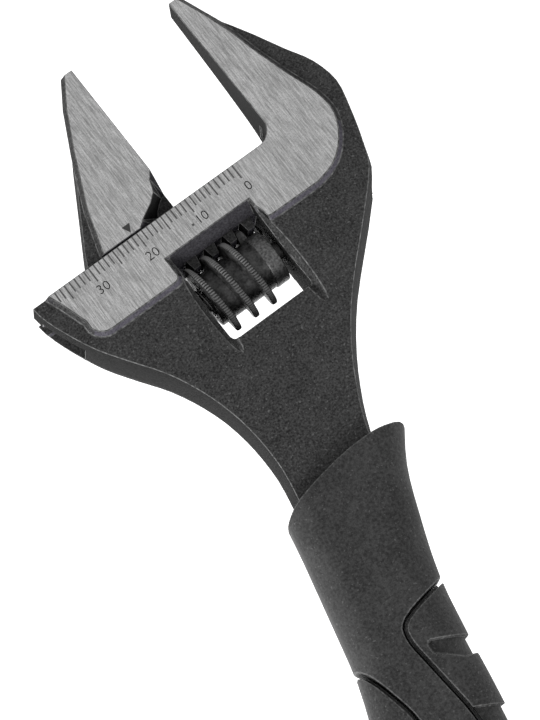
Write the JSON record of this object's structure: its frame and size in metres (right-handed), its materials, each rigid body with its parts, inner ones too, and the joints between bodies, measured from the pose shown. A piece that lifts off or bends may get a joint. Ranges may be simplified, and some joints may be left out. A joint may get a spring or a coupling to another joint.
{
  "type": "adjustable wrench",
  "caption": "Wide-opening adjustable wrench with thin tapered jaws, a worm-driven sliding jaw, an engraved opening scale and a moulded soft grip.",
  "frame": {"origin": "middle of the wrench's outline, at the level of the back faces it lies on", "axes": "+Y from the grip toward the jaw tips, +Z out of the face with the scale, +X toward the fixed jaw's side"},
  "size_m": [0.0646, 0.2182, 0.016],
  "materials": {
    "body_steel": "black oxide forging with bright ground lands",
    "jaw_steel": "ground bright face, black oxide flank",
    "worm_steel": "black oxide with bright hub",
    "pin_steel": "plain turned steel",
    "spring_steel": "drawn wire",
    "sleeve_rubber": "matte fine-textured moulding",
    "finger_rubber": "matte soft moulding",
    "palm_rubber": "matte soft moulding"
  },
  "bodies": {
    "handle": {"body": "body_steel", "worm_pin": "pin_steel", "worm_spring": "spring_steel", "grip_sleeve": "sleeve_rubber", "finger_panel": "finger_rubber", "palm_panel": "palm_rubber"},
    "jaw": {"movable_jaw": "jaw_steel"},
    "worm": {"adjusting_worm": "worm_steel"}
  },
  "joints": [
    {"name": "jaw_slide", "type": "slide", "parent": "handle", "child": "jaw", "axis": [-0.9659, -0.2588, 0], "range_m": [-0.0204, 0.0163]},
    {"name": "worm_spin", "type": "hinge", "parent": "handle", "child": "worm", "pos_m": [0.00286, 0.05937, 0.0075], "axis": [0.9659, 0.2588, 0], "continuous": true}
  ],
  "couplings": [
    {"joint": "worm_spin", "follows": "jaw_slide", "rad_per_m": 1653.5}
  ]
}
